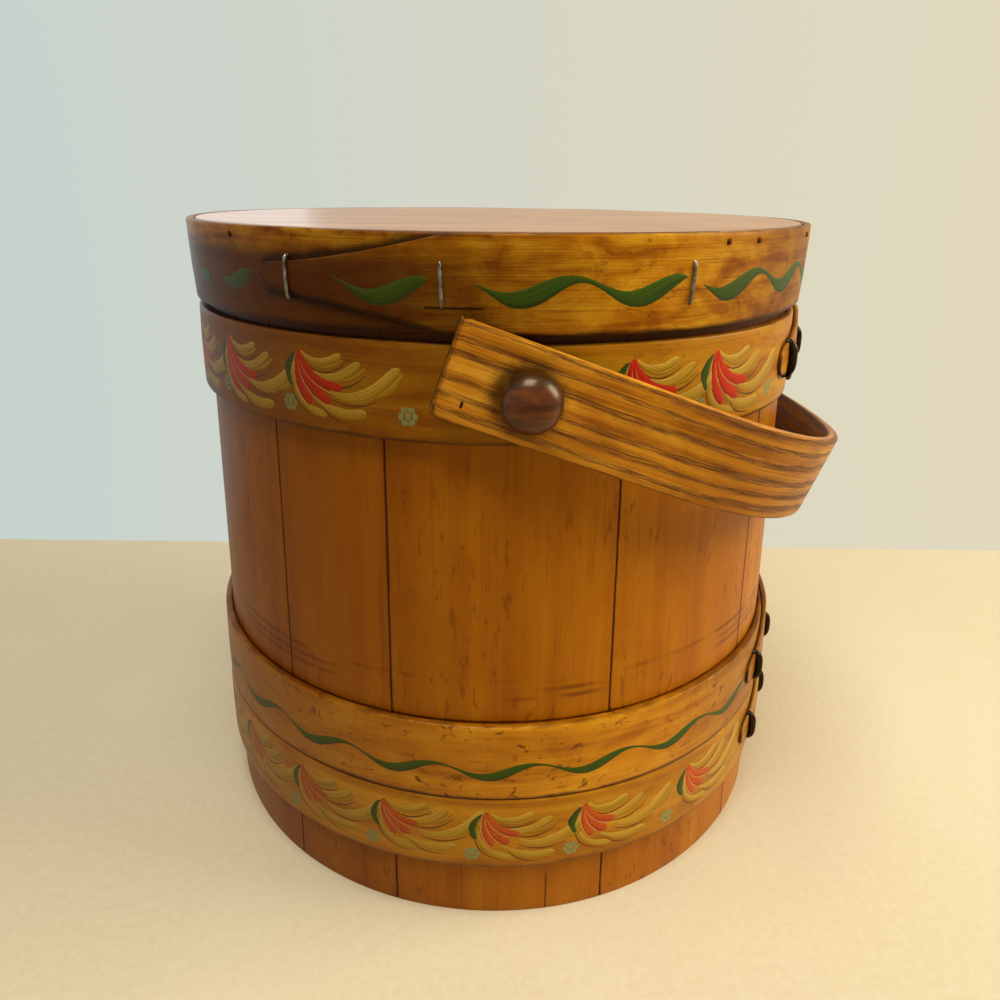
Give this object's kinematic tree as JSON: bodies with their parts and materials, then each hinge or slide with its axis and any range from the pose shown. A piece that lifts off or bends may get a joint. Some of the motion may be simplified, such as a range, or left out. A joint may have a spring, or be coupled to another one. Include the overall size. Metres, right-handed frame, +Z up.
{
  "type": "wooden firkin",
  "caption": "Staved wooden firkin with lapped wooden hoops, a banded lift-off lid and a bent wooden bail handle on turned pegs.",
  "frame": {"origin": "on the floor under the middle of the firkin's box, with the bail leaning to +X; the bucket's own axis is 2.9 mm to -X of it", "axes": "+Z up along the bucket's axis, +Y along the pegs towards the back peg, +X towards the side where the bail rests"},
  "size_m": [0.328, 0.3468, 0.3043],
  "materials": {
    "stave_wood": "satin amber varnish over pine",
    "board_wood": "satin amber varnish over pine",
    "hoop_wood": "satin varnish with a painted comma-stroke border",
    "band_wood": "satin varnish with a painted wavy ribbon",
    "bail_oak": "open-grained oak, satin varnish",
    "peg_wood": "dark walnut stain, glossy",
    "iron": "dull dark wire and cut nails"
  },
  "bodies": {
    "bucket": {"stave_01": "stave_wood", "stave_02": "stave_wood", "stave_03": "stave_wood", "stave_04": "stave_wood", "stave_05": "stave_wood", "stave_06": "stave_wood", "stave_07": "stave_wood", "stave_08": "stave_wood", "stave_09": "stave_wood", "stave_10": "stave_wood", "stave_11": "stave_wood", "stave_12": "stave_wood", "bottom_board": "board_wood", "lower_hoop": "hoop_wood", "lower_hoop_staple_1": "iron", "lower_hoop_staple_2": "iron", "middle_hoop": "hoop_wood", "middle_hoop_staple_1": "iron", "middle_hoop_staple_2": "iron", "upper_hoop": "hoop_wood", "upper_hoop_staple_1": "iron", "upper_hoop_staple_2": "iron", "peg_front": "peg_wood", "peg_back": "peg_wood", "peg_pin_front": "peg_wood", "peg_pin_back": "peg_wood"},
    "lid": {"lid_board": "board_wood", "lid_band": "band_wood", "lid_band_staple_1": "iron", "lid_band_staple_2": "iron", "lid_band_staple_3": "iron", "lid_nail_01": "iron", "lid_nail_02": "iron", "lid_nail_03": "iron", "lid_nail_04": "iron", "lid_nail_05": "iron", "lid_nail_06": "iron", "lid_nail_07": "iron", "lid_nail_08": "iron", "lid_nail_09": "iron", "lid_nail_10": "iron", "lid_nail_11": "iron", "lid_nail_12": "iron"},
    "bail": {"bail": "bail_oak"}
  },
  "joints": [
    {"name": "bail_swing", "type": "hinge", "parent": "bucket", "child": "bail", "pos_m": [-0.00294, 0, 0.2505], "axis": [0, -1, 0], "range_deg": [0, 219.8]},
    {"name": "lid_lift", "type": "slide", "parent": "bucket", "child": "lid", "axis": [0, 0, 1], "range_m": [0, 0.08]}
  ]
}
